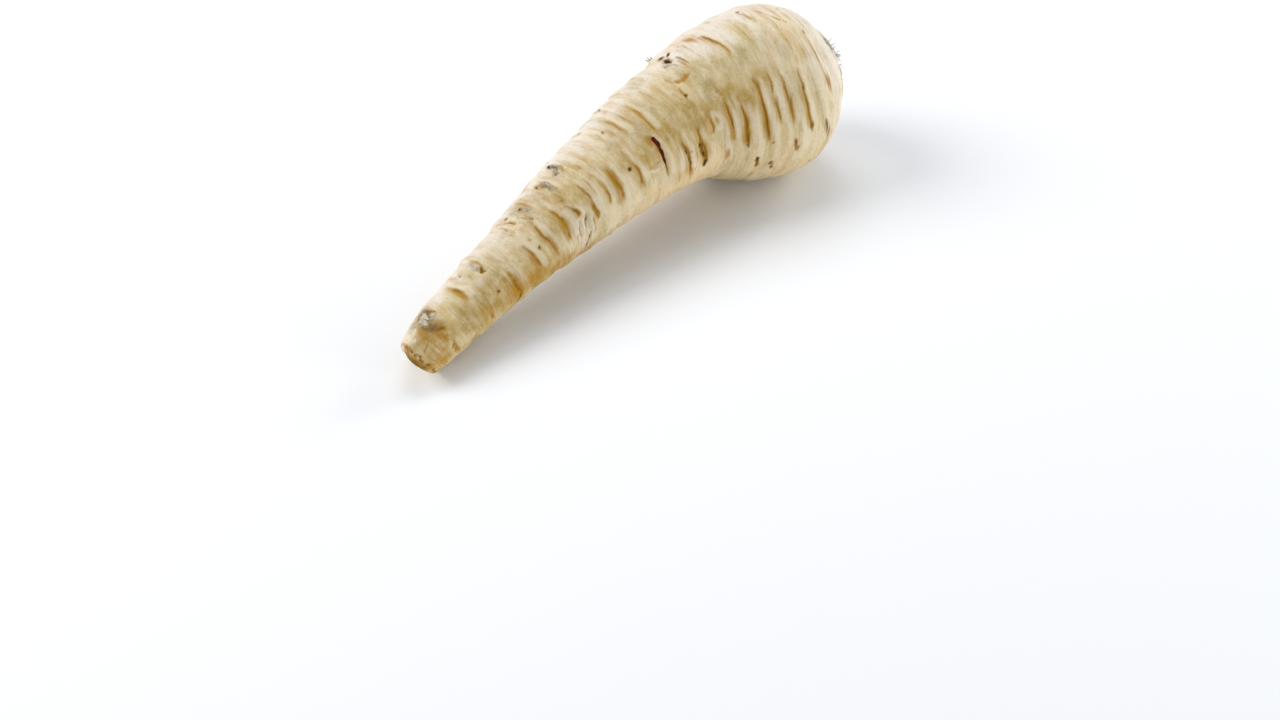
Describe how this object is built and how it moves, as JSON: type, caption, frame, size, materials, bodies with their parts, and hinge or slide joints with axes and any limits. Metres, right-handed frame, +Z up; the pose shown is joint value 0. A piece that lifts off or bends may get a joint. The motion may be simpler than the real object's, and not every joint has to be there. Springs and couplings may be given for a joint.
{
  "type": "parsnip",
  "caption": "Raw parsnip lying on its side: a long tapering root with a swollen shoulder, a sunken leaf crown and a snapped tip, creased across",
  "frame": {"origin": "centre of the footprint of its bounding box, on the surface it lies on", "axes": "+X along the root towards the crown, +Y to the side it bows towards, +Z up"},
  "size_m": [0.2158, 0.0672, 0.0658],
  "materials": {
    "root_skin": "matte",
    "crown_fibre": "matte"
  },
  "bodies": {
    "root": {"parsnip_root": "root_skin"}
  },
  "joints": []
}
